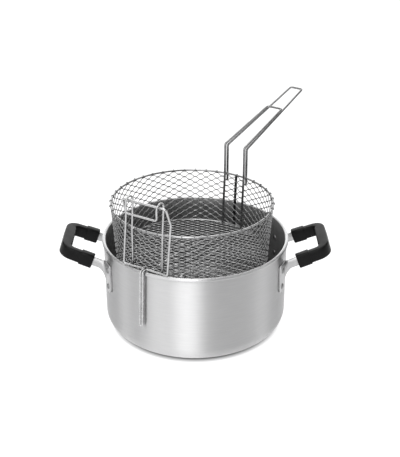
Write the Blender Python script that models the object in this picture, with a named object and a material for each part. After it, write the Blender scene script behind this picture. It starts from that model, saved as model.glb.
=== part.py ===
"""Fry pot with a wire basket that hangs in the drain position on a wire rim hanger.

Metres, +Z up. The origin is the centre of the pot's underside on the floor. The pot handles lie on X.
The hanger and the basket's hook face HANG_AZIMUTH; the basket's long handle faces HANDLE_AZIMUTH.
"""

import math

import bmesh
import bpy
from mathutils import Matrix, Vector

COLLECTION_NAME = "fry_pot_kit"
GAP = 0.0003

# Pot
POT_RADIUS = 0.143
POT_HEIGHT = 0.148
POT_WALL = 0.0025
POT_BASE = 0.004
POT_CORNER = 0.027
RIM_BEAD_RADIUS = 0.0027
RIM_BEAD_INSET = 0.0002
POT_SEGMENTS = 80
CORNER_STEPS = 8
BEAD_STEPS = 6

# Pot handles: a bent strip with a riveted foot at each end, and a moulded sleeve
HANDLE_RISE = math.radians(21.0)
STRIP_THICKNESS = 0.0025
STRIP_HALF_HEIGHT = 0.00725
FOOT_TOP = 0.0085
FOOT_DEPTH = 0.040
FOOT_WIDTH = 0.020
FOOT_TOP_CORNER = 0.004
FOOT_AZIMUTH = math.radians(19.3)
FOOT_STEPS = 12
BEND_RADIUS = 0.006
BEND_STEPS = 6
STRIP_BASE_Z = 0.1175
GUSSET_LENGTH = 0.014
GUSSET_STEP = 0.0025
GUSSET_STATIONS = 6
BAR_REACH = 0.0702
LEG_END_Y = 0.0395
LOOP_CORNER = 0.014
LOOP_CORNER_STEPS = 7
SLEEVE_START = 0.0165
SLEEVE_COLLAR = 0.021
SLEEVE_HALF = (0.0058, 0.0098)
COLLAR_HALF = (0.0064, 0.0113)
SLEEVE_EDGE = 0.0030
SLEEVE_BAR_EXTRA = 0.0050
SLEEVE_EDGE_STEPS = 3

# Rivets
RIVET_DROPS = (0.003, 0.030)
RIVET_SHANK = 0.0022
RIVET_HEAD = 0.0045
RIVET_HEAD_HEIGHT = 0.0018
RIVET_SEGMENTS = 12
HOLE_RADIUS = RIVET_SHANK + GAP

# Basket
BASKET_CENTRE = (-0.0049, -0.0133)
BASKET_RIM_Z = 0.2110
BASKET_RIM_RADIUS = 0.1235
RIM_WIRE = 0.0016
BASKET_BASE_Z = 0.1235
BASKET_BASE_RADIUS = 0.1180
BASE_WIRE = 0.0015
MESH_THICKNESS = 0.0006
RING_STEPS = 64
SEAM_WIDTH = 0.005
SEAM_THICKNESS = 0.0010
SEAM_STEPS = 4
WIRE = 0.0014
HANDLE_WIRE = 0.0019

# Basket's long handle
HANDLE_AZIMUTH = math.radians(55.2)
HANDLE_HALF_WIDTH = 0.0180
HANDLE_END_HALF_WIDTH = 0.0112
HANDLE_BEND_Z = 0.2590
HANDLE_REACH = 0.312
HANDLE_END_Z = 0.3075
BRACE_REACH = 0.240
HANDLE_STUB_Z = 0.1990
WIRE_BEND = 0.004
WIRE_BEND_STEPS = 4

# Hook and hanger
HANG_AZIMUTH = math.radians(238.5)
HOOK_HALF_WIDTH = 0.0258
HOOK_FOOT_SHIFT = -0.0033
HOOK_TOP_SHIFT = 0.0050
HOOK_REACH = 0.1416
HOOK_ARCH_Z = 0.2571
HOOK_ARCH_STEPS = 8
HOOK_TIP_Z = 0.2428
HANGER_WIRE = 0.0016
REST_REACH = 0.1379
HANGER_HALF_WIDTH = 0.0381
HANGER_LEG_TOP_Z = 0.2325
HANGER_LEAN = 0.0072
CROSSBAR_REACH = 0.1500
CROSSBAR_HALF_WIDTH = 0.0364
CROSSBAR_LEAN = 0.0087
CROSSBAR_Z = 0.2612
TAIL_HALF_WIDTH = 0.0020
TAIL_SHIFT = -0.0034
TAIL_BEND = 0.0018
TAIL_END_Z = 0.0580

ALUMINIUM = (0.72, 0.73, 0.74, 1.0)
STEEL = (0.55, 0.56, 0.57, 1.0)
BLACK = (0.02, 0.02, 0.02, 1.0)


def clear_scene():
    for obj in list(bpy.data.objects):
        bpy.data.objects.remove(obj, do_unlink=True)


def collection(name):
    made = bpy.data.collections.get(name) or bpy.data.collections.new(name)
    if name not in bpy.context.scene.collection.children:
        bpy.context.scene.collection.children.link(made)
    return made


def material(name, colour, metallic, roughness):
    made = bpy.data.materials.new(name)
    made.use_nodes = True
    shader = made.node_tree.nodes["Principled BSDF"]
    shader.inputs["Base Color"].default_value = colour
    shader.inputs["Metallic"].default_value = metallic
    shader.inputs["Roughness"].default_value = roughness
    return made


def add_object(name, data, finish):
    made = bpy.data.objects.new(name, data)
    data.materials.append(material(name + "_finish", *finish))
    collection(COLLECTION_NAME).objects.link(made)
    return made


def mesh_object(name, bm, finish):
    bmesh.ops.recalc_face_normals(bm, faces=bm.faces)
    data = bpy.data.meshes.new(name)
    bm.to_mesh(data)
    bm.free()
    return add_object(name, data, finish)


def polar(radius, azimuth, z):
    return Vector((radius * math.cos(azimuth), radius * math.sin(azimuth), z))


def basket_point(reach, across, z, azimuth):
    """A point given from the basket's centre: reach along the azimuth, across to its left, height z."""
    along = Vector((math.cos(azimuth), math.sin(azimuth), 0.0))
    left = Vector((-math.sin(azimuth), math.cos(azimuth), 0.0))
    return Vector((*BASKET_CENTRE, z)) + reach * along + across * left


def chord_reach(radius, across):
    return math.sqrt(radius**2 - across**2)


def rounded(points, radii, steps, closed=False):
    """The polyline with each inner corner replaced by an arc of its radius. A corner of radius 0 stays."""
    count = len(points)
    result = []
    for i, (corner, radius) in enumerate(zip(points, radii)):
        if radius == 0.0 or not closed and i in (0, count - 1):
            result.append(corner.copy())
            continue
        back = (points[i - 1] - corner).normalized()
        ahead = (points[(i + 1) % count] - corner).normalized()
        half = back.angle(ahead) / 2
        middle = corner + (back + ahead).normalized() * radius / math.sin(half)
        start = corner + back * radius / math.tan(half) - middle
        end = corner + ahead * radius / math.tan(half) - middle
        turn = start.rotation_difference(end)
        for k in range(steps + 1):
            step = turn.copy()
            step.angle = turn.angle * k / steps
            result.append(middle + step @ start)
    return result


def wire_object(name, points, radius, closed=False):
    data = bpy.data.curves.new(name, "CURVE")
    data.dimensions = "3D"
    data.bevel_depth = radius
    data.bevel_resolution = 2
    data.use_fill_caps = not closed
    spline = data.splines.new("POLY")
    spline.points.add(len(points) - 1)
    for target, point in zip(spline.points, points):
        target.co = (*point, 1.0)
    spline.use_cyclic_u = closed
    return add_object(name, data, (STEEL, 1.0, 0.25))


def skin(rings, closed):
    """A mesh through rings of equal vertex count, joined end to end or filled at both ends."""
    bm = bmesh.new()
    made = [[bm.verts.new(point) for point in ring] for ring in rings]
    count = len(made[0])
    pairs = list(zip(made, made[1:]))
    if closed:
        pairs.append((made[-1], made[0]))
    for here, there in pairs:
        for k in range(count):
            bm.faces.new((here[k], here[(k + 1) % count], there[(k + 1) % count], there[k]))
    if not closed:
        bm.faces.new(made[0])
        bm.faces.new(made[-1])
    return bm


def lathe(profile, segments, centre=(0.0, 0.0)):
    """A closed solid of revolution. The profile runs from the axis down the outer side and back to the axis."""
    bm = bmesh.new()
    offset = Vector((*centre, 0.0))
    rings = []
    for radius, z in profile:
        if radius == 0.0:
            rings.append([bm.verts.new(offset + Vector((0.0, 0.0, z)))])
            continue
        turns = [2 * math.pi * k / segments for k in range(segments)]
        rings.append([bm.verts.new(offset + polar(radius, turn, z)) for turn in turns])
    for upper, lower in zip(rings, rings[1:] + rings[:1]):
        if len(upper) == len(lower) == 1:
            continue
        for k in range(segments):
            corners = [upper[k % len(upper)], lower[k % len(lower)]]
            corners += [lower[(k + 1) % len(lower)], upper[(k + 1) % len(upper)]]
            bm.faces.new(list(dict.fromkeys(corners)))
    return bm


def arc(centre, radius, start, end, steps):
    """Points (r, z) on an arc in the profile plane, angles in degrees from outward, positive upward."""
    angles = [math.radians(start + (end - start) * k / steps) for k in range(steps + 1)]
    return [(centre[0] + radius * math.cos(a), centre[1] + radius * math.sin(a)) for a in angles]


def pot_profile():
    inner_radius = POT_RADIUS - POT_WALL
    bead_centre = (POT_RADIUS - RIM_BEAD_INSET, POT_HEIGHT - RIM_BEAD_RADIUS)
    corner = (POT_RADIUS - POT_CORNER, POT_CORNER)
    inner_corner = POT_CORNER - POT_WALL
    inner_centre = (corner[0], POT_BASE + inner_corner)
    first = math.degrees(math.acos((inner_radius - bead_centre[0]) / RIM_BEAD_RADIUS))
    last = -math.degrees(math.acos((POT_RADIUS - bead_centre[0]) / RIM_BEAD_RADIUS))
    bead = arc(bead_centre, RIM_BEAD_RADIUS, first, last, BEAD_STEPS)
    outside = arc(corner, POT_CORNER, 0, -90, CORNER_STEPS)
    inside = arc(inner_centre, inner_corner, -90, 0, CORNER_STEPS)
    return [(0.0, POT_BASE), *inside, *bead, *outside, (0.0, 0.0)]


def drill(target, name, start, end, radius):
    """Cuts a round hole through the target from one point to the other."""
    bm = bmesh.new()
    length = (end - start).length
    bmesh.ops.create_cone(
        bm, cap_ends=True, segments=RIVET_SEGMENTS, radius1=radius, radius2=radius, depth=length
    )
    turn = Vector((0.0, 0.0, 1.0)).rotation_difference(end - start).to_matrix().to_4x4()
    bm.transform(Matrix.Translation((start + end) / 2) @ turn)
    data = bpy.data.meshes.new(name)
    bm.to_mesh(data)
    bm.free()
    cutter = bpy.data.objects.new(name, data)
    cutter.hide_render = True
    cutter.display_type = "WIRE"
    collection("cutters").objects.link(cutter)
    cut = target.modifiers.new(name, "BOOLEAN")
    cut.operation = "DIFFERENCE"
    cut.solver = "EXACT"
    cut.object = cutter


def rivet_angle():
    return FOOT_AZIMUTH + FOOT_WIDTH / 2 / POT_RADIUS


def rivet_sites():
    """Name, azimuth and height of every rivet."""
    sites = []
    for side, middle in (("left", math.pi), ("right", 0.0)):
        for end, sign in (("front", -1), ("back", 1)):
            turn = sign if side == "right" else -sign
            for level, drop in zip(("upper", "lower"), RIVET_DROPS):
                angle = middle + turn * rivet_angle()
                sites.append((f"rivet_{side}_{end}_{level}", angle, STRIP_BASE_Z - drop))
    return sites


def add_rivet(name, azimuth, z):
    inside = POT_RADIUS - POT_WALL - GAP
    outside = POT_RADIUS + GAP + STRIP_THICKNESS + GAP
    dome = (1.0, 0.0), (0.92, 0.45), (0.7, 0.78), (0.38, 0.96)
    outer = [(RIVET_HEAD * r, outside + RIVET_HEAD_HEIGHT * h) for r, h in dome]
    inner = [(RIVET_HEAD * r, inside - RIVET_HEAD_HEIGHT * h) for r, h in dome]
    shank = [(RIVET_SHANK, outside), (RIVET_SHANK, inside)]
    ends = (0.0, outside + RIVET_HEAD_HEIGHT), (0.0, inside - RIVET_HEAD_HEIGHT)
    profile = [ends[0], *reversed(outer), *shank, *inner, ends[1]]
    bm = lathe(profile, RIVET_SEGMENTS)
    bm.transform(Matrix.Rotation(math.pi / 2, 4, "Y"))
    bm.transform(Matrix.Rotation(azimuth, 4, "Z"))
    bm.transform(Matrix.Translation((0.0, 0.0, z)))
    mesh_object(name, bm, (ALUMINIUM, 1.0, 0.3))


def wall_gap_radius():
    return POT_RADIUS + GAP + STRIP_THICKNESS / 2


def foot_bottom(distance):
    """How far the foot reaches below the strip's centre line, at a distance from the foot's outer edge."""
    radius = FOOT_WIDTH / 2
    offset = min(abs(distance - radius), radius)
    return FOOT_DEPTH - radius + math.sqrt(radius**2 - offset**2)


def foot_top(distance):
    missing = max(FOOT_TOP_CORNER - distance, 0.0)
    return FOOT_TOP - FOOT_TOP_CORNER + math.sqrt(FOOT_TOP_CORNER**2 - missing**2)


def half_loop_path():
    """Plan points of one half of the right handle's strip: the foot on the wall, the bend, the leg and the bar."""
    radius = wall_gap_radius()
    span = FOOT_WIDTH / radius
    angles = [FOOT_AZIMUTH + span * (1 - k / FOOT_STEPS) for k in range(FOOT_STEPS + 1)]
    foot = [polar(radius, angle, 0.0) for angle in angles]
    tangent = (foot[-1] - foot[-2]).normalized()
    corner = foot[-1] + tangent * BEND_RADIUS * 0.7
    bar_x = radius * math.cos(FOOT_AZIMUTH) + BAR_REACH * math.cos(HANDLE_RISE)
    bar_corner = Vector((bar_x, LEG_END_Y, 0.0))
    bar_middle = Vector((bar_x, 0.0, 0.0))
    bend = rounded([foot[-1], corner, bar_corner], [BEND_RADIUS] * 3, BEND_STEPS)[1:-1]
    turn = rounded([corner, bar_corner, bar_middle], [LOOP_CORNER] * 3, LOOP_CORNER_STEPS)[1:-1]
    return foot, bend, turn


def leg_start():
    return half_loop_path()[1][-1]


def tilt(point):
    """Lifts a plan point of the handle's loop onto its rising plane."""
    beyond = max(point.x - leg_start().x, 0.0)
    return Vector((point.x, point.y, STRIP_BASE_Z + beyond * math.tan(HANDLE_RISE)))


def upward(share):
    angle = HANDLE_RISE * share
    return Vector((-math.sin(angle), 0.0, math.cos(angle)))


def side_of(points, index, up):
    """The direction square to the path and to up at one of the path's points, pointing out of the loop."""
    here = points[index]
    along = (points[index + 1] - here).normalized()
    if index:
        along += (here - points[index - 1]).normalized()
    return up.cross(along).normalized()


def mirrored(stations):
    """The stations followed by their own reflection in Y, in path order."""
    flip = Vector((1.0, -1.0, 1.0))
    reflected = [[point * flip for point in ring] for ring in reversed(stations)]
    return stations + reflected


def bracket_rings():
    foot, bend, turn = half_loop_path()
    leg = (turn[0] - bend[-1]).normalized()
    gusset = [bend[-1] + leg * GUSSET_STEP * (k + 1) for k in range(GUSSET_STATIONS)]
    path = [tilt(plan) for plan in foot + bend + gusset + turn]
    path.append(path[-1] * Vector((1.0, 0.0, 1.0)))
    rings = []
    travelled = 0.0
    for i, centre in enumerate(path[:-1]):
        travelled += (centre - path[i - 1]).length if i else 0.0
        share = min(max((travelled - FOOT_WIDTH) / GUSSET_LENGTH, 0.0), 1.0)
        eased = math.sin(share * math.pi / 2)
        bottom = foot_bottom(min(travelled, FOOT_WIDTH)) * (1 - eased) + STRIP_HALF_HEIGHT * eased
        top = foot_top(travelled) * (1 - eased) + STRIP_HALF_HEIGHT * eased
        up = upward(min(max(centre.x - bend[-1].x, 0.0) / GUSSET_LENGTH, 1.0))
        out = side_of(path, i, up) * STRIP_THICKNESS / 2
        rings.append([centre + out + up * top, centre - out + up * top])
        rings[-1] += [centre - out - up * bottom, centre + out - up * bottom]
    return mirrored(rings)


def rounded_rectangle(half_width, half_height, radius, extra=0.0):
    """Corner points of a rounded rectangle that reaches a bit further on its -X side."""
    points = []
    for quadrant in range(4):
        sx = 1 if quadrant in (0, 3) else -1
        sy = 1 if quadrant in (0, 1) else -1
        for k in range(SLEEVE_EDGE_STEPS + 1):
            angle = math.pi / 2 * (quadrant + k / SLEEVE_EDGE_STEPS)
            reach = half_width if sx > 0 else half_width + extra
            x = sx * (reach - radius) + radius * math.cos(angle)
            y = sy * (half_height - radius) + radius * math.sin(angle)
            points.append((x, y))
    return points


def sleeve_stations():
    """Plan points of half the sleeve with the size of its section there, and how much thicker it is inside."""
    turn = half_loop_path()[2]
    start = leg_start()
    leg = (turn[0] - start).normalized()
    stretch = math.cos(HANDLE_RISE)
    marks = (0.0, 0.001, SLEEVE_COLLAR - 0.001, SLEEVE_COLLAR)
    sizes = ((0.94, 0.96), (1.0, 1.0), (1.0, 1.0), None)
    stations = []
    for mark, scale in zip(marks, sizes):
        plan = start + leg * (SLEEVE_START + mark) * stretch
        width, height = SLEEVE_HALF
        if scale:
            width, height = COLLAR_HALF[0] * scale[0], COLLAR_HALF[1] * scale[1]
        stations.append((plan, width, height, 0.0))
    last = len(turn) - 1
    stations += [(plan, *SLEEVE_HALF, SLEEVE_BAR_EXTRA * k / last) for k, plan in enumerate(turn)]
    return stations


def sleeve_rings():
    stations = sleeve_stations()
    path = [tilt(plan) for plan, *_ in stations]
    path.append(path[-1] * Vector((1.0, 0.0, 1.0)))
    up = upward(1.0)
    channel = (STRIP_THICKNESS / 2 + GAP, STRIP_HALF_HEIGHT + GAP)
    outer, inner = [], []
    for i, (_, width, height, extra) in enumerate(stations):
        out = side_of(path, i, up)
        centre = path[i]
        section = rounded_rectangle(width, height, SLEEVE_EDGE, extra)
        hollow = rounded_rectangle(*channel, GAP)
        outer.append([centre + out * a + up * b for a, b in section])
        inner.append([centre + out * a + up * b for a, b in hollow])
    return mirrored(outer), mirrored(inner)


def add_handle(side, facing):
    turn = Matrix.Rotation(0.0 if facing > 0 else math.pi, 4, "Z")
    strip = skin(bracket_rings(), closed=False)
    strip.transform(turn)
    bracket = mesh_object(f"handle_bracket_{side}", strip, (ALUMINIUM, 1.0, 0.3))
    outer, inner = sleeve_rings()
    sleeve = skin(outer + inner[::-1], closed=True)
    sleeve.transform(turn)
    mesh_object(f"handle_grip_{side}", sleeve, (BLACK, 0.0, 0.5))
    return bracket


def add_pot():
    pot = mesh_object("pot_body", lathe(pot_profile(), POT_SEGMENTS), (ALUMINIUM, 1.0, 0.3))
    brackets = {"right": add_handle("right", 1), "left": add_handle("left", -1)}
    depth = 2 * (POT_WALL + STRIP_THICKNESS)
    for name, azimuth, z in rivet_sites():
        add_rivet(name, azimuth, z)
        start = polar(POT_RADIUS - depth, azimuth, z)
        end = polar(POT_RADIUS + depth, azimuth, z)
        drill(pot, name + "_hole", start, end, HOLE_RADIUS)
        side = name.split("_")[1]
        drill(brackets[side], name + "_foot_hole", start, end, HOLE_RADIUS)


def ring_points(radius, z):
    centre = Vector((*BASKET_CENTRE, 0.0))
    turns = [2 * math.pi * k / RING_STEPS for k in range(RING_STEPS)]
    return [centre + polar(radius, turn, z) for turn in turns]


def wall_radius(z):
    """Radius of the middle of the basket's mesh wall at a height."""
    share = (z - BASKET_BASE_Z) / (BASKET_RIM_Z - BASKET_BASE_Z)
    return BASKET_BASE_RADIUS + share * (BASKET_RIM_RADIUS - BASKET_BASE_RADIUS)


def wall_span():
    return BASKET_BASE_Z + BASE_WIRE + GAP, BASKET_RIM_Z - RIM_WIRE - GAP


def add_basket_shell():
    wire_object("basket_rim_ring", ring_points(BASKET_RIM_RADIUS, BASKET_RIM_Z), RIM_WIRE, closed=True)
    wire_object("basket_base_ring", ring_points(BASKET_BASE_RADIUS, BASKET_BASE_Z), BASE_WIRE, closed=True)
    low, high = wall_span()
    half = MESH_THICKNESS / 2
    wall = [(wall_radius(high) + half, high), (wall_radius(low) + half, low)]
    wall += [(wall_radius(low) - half, low), (wall_radius(high) - half, high)]
    mesh_object("basket_wall_mesh", lathe(wall, RING_STEPS, BASKET_CENTRE), (STEEL, 1.0, 0.3))
    edge = BASKET_BASE_RADIUS - BASE_WIRE - GAP
    base = [(0.0, BASKET_BASE_Z + half), (edge, BASKET_BASE_Z + half)]
    base += [(edge, BASKET_BASE_Z - half), (0.0, BASKET_BASE_Z - half)]
    mesh_object("basket_base_mesh", lathe(base, RING_STEPS, BASKET_CENTRE), (STEEL, 1.0, 0.3))


def add_seam():
    """The folded joint of the mesh wall, a strip just outside it between the handle's legs."""
    low, high = wall_span()
    clear = MESH_THICKNESS / 2 + GAP
    centre = Vector((*BASKET_CENTRE, 0.0))
    rings = []
    for k in range(SEAM_STEPS + 1):
        across = SEAM_WIDTH * (k / SEAM_STEPS - 0.5)
        ring = []
        for z, out in ((low, clear), (high, clear), (high, clear + SEAM_THICKNESS), (low, clear + SEAM_THICKNESS)):
            radius = wall_radius(z) + out
            ring.append(centre + polar(radius, HANDLE_AZIMUTH + across / radius, z))
        rings.append(ring)
    mesh_object("basket_seam_strip", skin(rings, closed=False), (STEEL, 1.0, 0.4))


def inner_reach(z, across, wire=WIRE):
    """Distance from the basket's centre of an upright wire that runs just inside the wall and both rings."""
    return chord_reach(wall_radius(z) - RIM_WIRE - wire - GAP, across)


def outer_reach(z, across, wire=WIRE):
    """Distance from the basket's centre of an upright wire that runs just outside the wall and both rings."""
    return chord_reach(wall_radius(z) + RIM_WIRE + wire + GAP, across)


def both_sides(points):
    """Points (reach, across, z) of one leg, followed by the other leg's in reverse."""
    return points + [(reach, -across, z) for reach, across, z in reversed(points)]


def placed(points, azimuth):
    return [basket_point(reach, across, z, azimuth) for reach, across, z in points]


def foot_z():
    return BASKET_BASE_Z + MESH_THICKNESS / 2 + GAP


def handle_wire(name, half):
    path = placed(both_sides(half), HANDLE_AZIMUTH)
    wire_object(name, rounded(path, [WIRE_BEND] * len(path), WIRE_BEND_STEPS), HANDLE_WIRE)


def add_basket_handle():
    start = outer_reach(BASKET_RIM_Z, HANDLE_HALF_WIDTH, HANDLE_WIRE)
    grip = [
        (start, HANDLE_HALF_WIDTH, HANDLE_STUB_Z),
        (start, HANDLE_HALF_WIDTH, HANDLE_BEND_Z),
        (HANDLE_REACH, HANDLE_END_HALF_WIDTH, HANDLE_END_Z),
    ]
    handle_wire("basket_handle_outer_loop", grip)
    share = (BRACE_REACH - start) / (HANDLE_REACH - start)
    above = 2 * HANDLE_WIRE + GAP
    brace_half = HANDLE_HALF_WIDTH + share * (HANDLE_END_HALF_WIDTH - HANDLE_HALF_WIDTH)
    brace_z = HANDLE_BEND_Z + share * (HANDLE_END_Z - HANDLE_BEND_Z) + above
    rim_reach = inner_reach(BASKET_RIM_Z, HANDLE_HALF_WIDTH, HANDLE_WIRE)
    brace = [
        (inner_reach(foot_z(), HANDLE_HALF_WIDTH, HANDLE_WIRE), HANDLE_HALF_WIDTH, foot_z()),
        (rim_reach, HANDLE_HALF_WIDTH, BASKET_RIM_Z),
        (rim_reach, HANDLE_HALF_WIDTH, HANDLE_BEND_Z + above),
        (BRACE_REACH, brace_half, brace_z),
    ]
    handle_wire("basket_handle_inner_loop", brace)


def hook_side(sign):
    """One leg of the hook: up the outside of the wall, over the crossbar in a half circle, down to the tip."""
    rise = (BASKET_RIM_Z - BASKET_BASE_Z) / (HOOK_ARCH_Z - BASKET_BASE_Z)
    rim_shift = HOOK_FOOT_SHIFT + rise * (HOOK_TOP_SHIFT - HOOK_FOOT_SHIFT)
    points = []
    for z, shift in ((BASKET_BASE_Z, HOOK_FOOT_SHIFT), (BASKET_RIM_Z, rim_shift)):
        across = shift + sign * HOOK_HALF_WIDTH
        points.append((outer_reach(z, across), across, z))
    across = HOOK_TOP_SHIFT + sign * HOOK_HALF_WIDTH
    start = points[-1][0]
    half = (HOOK_REACH - start) / 2
    for k in range(HOOK_ARCH_STEPS + 1):
        angle = math.pi * k / HOOK_ARCH_STEPS
        points.append((start + half * (1 - math.cos(angle)), across, HOOK_ARCH_Z + half * math.sin(angle)))
    points.append((HOOK_REACH, across, HOOK_TIP_Z))
    return points


def add_basket_hook():
    left, right = hook_side(1), hook_side(-1)
    path = placed(left + right[::-1], HANG_AZIMUTH)
    plain = [0.0] * (len(left) - 1)
    radii = plain + [WIRE_BEND, WIRE_BEND] + plain
    wire_object("basket_hook", rounded(path, radii, WIRE_BEND_STEPS), WIRE)


def add_base_supports():
    """Two wires under the base mesh, from below the handle's legs to below the hook's legs."""
    z = BASKET_BASE_Z - MESH_THICKNESS / 2 - WIRE - GAP
    inset = BASKET_BASE_RADIUS - BASE_WIRE - 2 * GAP - WIRE
    for side, sign in (("left", 1), ("right", -1)):
        near = basket_point(chord_reach(inset, HANDLE_HALF_WIDTH), sign * HANDLE_HALF_WIDTH, z, HANDLE_AZIMUTH)
        far = basket_point(chord_reach(inset, HOOK_HALF_WIDTH), -sign * HOOK_HALF_WIDTH, z, HANG_AZIMUTH)
        wire_object(f"base_support_wire_{side}", [near, far], WIRE)


def hanger_half(sign):
    """(reach, across, z) from the pot's axis: crossbar, leg, bar on the rim, and half of the hairpin tail."""
    rest_z = POT_HEIGHT + HANGER_WIRE + GAP
    tail_reach = POT_RADIUS + RIM_BEAD_RADIUS + HANGER_WIRE + 2 * GAP
    return [
        (CROSSBAR_REACH, CROSSBAR_LEAN + sign * CROSSBAR_HALF_WIDTH, CROSSBAR_Z),
        (REST_REACH, HANGER_LEAN + sign * HANGER_HALF_WIDTH, HANGER_LEG_TOP_Z),
        (REST_REACH, sign * HANGER_HALF_WIDTH, rest_z),
        (REST_REACH, sign * TAIL_HALF_WIDTH, rest_z),
        (tail_reach, sign * TAIL_HALF_WIDTH, rest_z),
        (tail_reach, TAIL_SHIFT + sign * TAIL_HALF_WIDTH, TAIL_END_Z),
    ]


def add_hanger():
    """One closed loop of wire that stands on the pot's rim."""
    turn = Matrix.Rotation(HANG_AZIMUTH, 3, "Z")
    points = hanger_half(1) + hanger_half(-1)[::-1]
    path = [turn @ Vector(point) for point in points]
    bends = [WIRE_BEND] * 3 + [TAIL_BEND] * 3
    path = rounded(path, bends + bends[::-1], WIRE_BEND_STEPS, closed=True)
    wire_object("hanger_frame", path, HANGER_WIRE, closed=True)


def main():
    clear_scene()
    add_pot()
    add_basket_shell()
    add_seam()
    add_basket_handle()
    add_basket_hook()
    add_base_supports()
    add_hanger()


main()
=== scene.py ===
"""Looks for the fry pot, its hanging wire basket and the rim hanger.

Metres, +Z up, in the CAD model's frame.
"""

import math

import bmesh
import bpy
from mathutils import Matrix, Vector

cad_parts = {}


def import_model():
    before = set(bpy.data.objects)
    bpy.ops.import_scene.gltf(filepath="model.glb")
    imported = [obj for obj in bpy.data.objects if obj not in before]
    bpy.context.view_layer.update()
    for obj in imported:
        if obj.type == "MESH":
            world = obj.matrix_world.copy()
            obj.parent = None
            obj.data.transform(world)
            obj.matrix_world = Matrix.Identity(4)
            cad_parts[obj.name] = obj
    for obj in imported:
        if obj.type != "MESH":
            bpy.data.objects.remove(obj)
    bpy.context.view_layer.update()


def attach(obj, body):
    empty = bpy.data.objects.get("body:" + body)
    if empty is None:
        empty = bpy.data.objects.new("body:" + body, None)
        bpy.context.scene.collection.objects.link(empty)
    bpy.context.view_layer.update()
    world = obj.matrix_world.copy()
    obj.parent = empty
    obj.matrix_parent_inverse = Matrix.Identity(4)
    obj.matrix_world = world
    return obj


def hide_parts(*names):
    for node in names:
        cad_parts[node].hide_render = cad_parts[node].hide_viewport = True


# Camera and light
CAMERA_PLACE = (0.0073, -1.3458, 0.8206)
CAMERA_ELEVATION = 26.21
CAMERA_LENS = 86.5
CAMERA_SENSOR = 36.0
FLOOR_SIZE = 40.0
FLOOR_GLOW = 0.85
# Distances from the pot's axis between which the floor's painted contact shadow fades into its full glow
SHADE_REACH = (0.125, 0.137)
OVERHEAD_RAMP = (0.45, 0.95, 0.05, 1.00)
# Azimuth and half width in degrees, and strength, of each tall soft light
LIGHT_STRIPS = (
    (260.0, 22.0, 3.2),
    (222.0, 22.0, 1.7),
    (177.0, 10.0, 1.6),
    (358.0, 12.0, 1.1),
    (90.0, 44.0, 2.0),
)

# Darkest and lightest tone of each finish
BRUSHED_TONES = (0.60, 0.63)
COAT_TONES = (0.18, 0.21)
SATIN_TONES = (0.40, 0.48)
# Rivet heads: the bracket's metal painted darker, as painted shade
PAINTED_SHADE_RIVET_TONES = (0.20, 0.28)
GRIP_TONES = (0.002, 0.004)
# Hook, hanger and support wire: the same plated steel as the hoops, painted lighter as painted light
WIRE_TONES = (0.44, 0.56)
HOOP_TONES = (0.28, 0.38)
# Long handle: the same plated wire painted darker, as painted shade
HANDLE_SHADE_TONES = (0.20, 0.28)
MESH_TONES = (0.22, 0.32)
SEAM_TONES = (0.05, 0.09)
FLOOR_TONES = (0.28, 0.30)

# Lowest and highest roughness of each finish
BRUSHED_ROUGHNESS = (0.46, 0.54)
COAT_ROUGHNESS = (0.38, 0.50)
SATIN_ROUGHNESS = (0.30, 0.42)
GRIP_ROUGHNESS = (0.34, 0.44)
WIRE_ROUGHNESS = (0.20, 0.32)
FLOOR_ROUGHNESS = (0.85, 0.95)
BUMP_DEPTH = 0.0001

# Noise scales: cycles per metre, or per radian and metre for what runs round the pot
BRUSH_FINE = (3.0, 2600.0, 2600.0)
BRUSH_BROAD = (5.0, 420.0, 420.0)
COAT_RINGS = (0.6, 900.0, 900.0)
COAT_CLOUD = 18.0
SATIN_GRAIN = (300.0, 300.0, 2400.0)
SATIN_CLOUD = 60.0
GRIP_PORES = 2600.0
GRIP_CLOUD = 90.0
WIRE_CLOUD = 140.0
WIRE_DRAWN = 900.0
FLOOR_CLOUD = 3.0

# Pot
POT_RADIUS = 0.143
POT_HEIGHT = 0.148
POT_WALL = 0.0025
POT_BASE = 0.004
POT_CORNER = 0.027
BEAD_RADIUS = 0.0027
BEAD_INSET = 0.0002
POT_SEGMENTS = 192
POT_ARC_STEPS = 16
POT_WALL_HEIGHTS = (0.060, 0.085, 0.110, 0.130)
POT_FLOOR_RADII = (0.0, 0.03, 0.06, 0.09)

# Pot handles
HANDLE_RISE = math.radians(21.0)
STRIP_THICKNESS = 0.0025
STRIP_HALF_HEIGHT = 0.00725
STRIP_EDGE = 0.0005
FOOT_TOP = 0.0085
FOOT_DEPTH = 0.040
FOOT_WIDTH = 0.020
FOOT_TOP_CORNER = 0.004
FOOT_AZIMUTH = math.radians(19.3)
FOOT_STEPS = 20
BEND_RADIUS = 0.006
BEND_STEPS = 10
BEND_LEAD = 0.7
STRIP_BASE_Z = 0.1175
GUSSET_LENGTH = 0.014
GUSSET_STEP = 0.00125
GUSSET_STATIONS = 12
BAR_REACH = 0.0702
LEG_END_Y = 0.0395
LOOP_CORNER = 0.014
LOOP_CORNER_STEPS = 14
SLEEVE_START = 0.0165
SLEEVE_COLLAR = 0.021
SLEEVE_HALF = (0.0058, 0.0098)
COLLAR_HALF = (0.0064, 0.0113)
SLEEVE_EDGE = 0.0030
SLEEVE_BAR_EXTRA = 0.0050
# (distance from the collar's nearer end, scale of its section) where its two edges are eased
COLLAR_START = ((0.0, 0.90), (0.0006, 0.97), (0.0016, 1.0))
COLLAR_END = ((0.0016, 1.0), (0.0006, 0.98))
SLEEVE_EDGE_STEPS = 5
GAP = 0.0003

# Rivets
RIVET_DROPS = (0.003, 0.030)
RIVET_HEAD = 0.0045
RIVET_HEAD_HEIGHT = 0.0018
RIVET_SEGMENTS = 32
RIVET_DOME_STEP = 10

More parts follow.
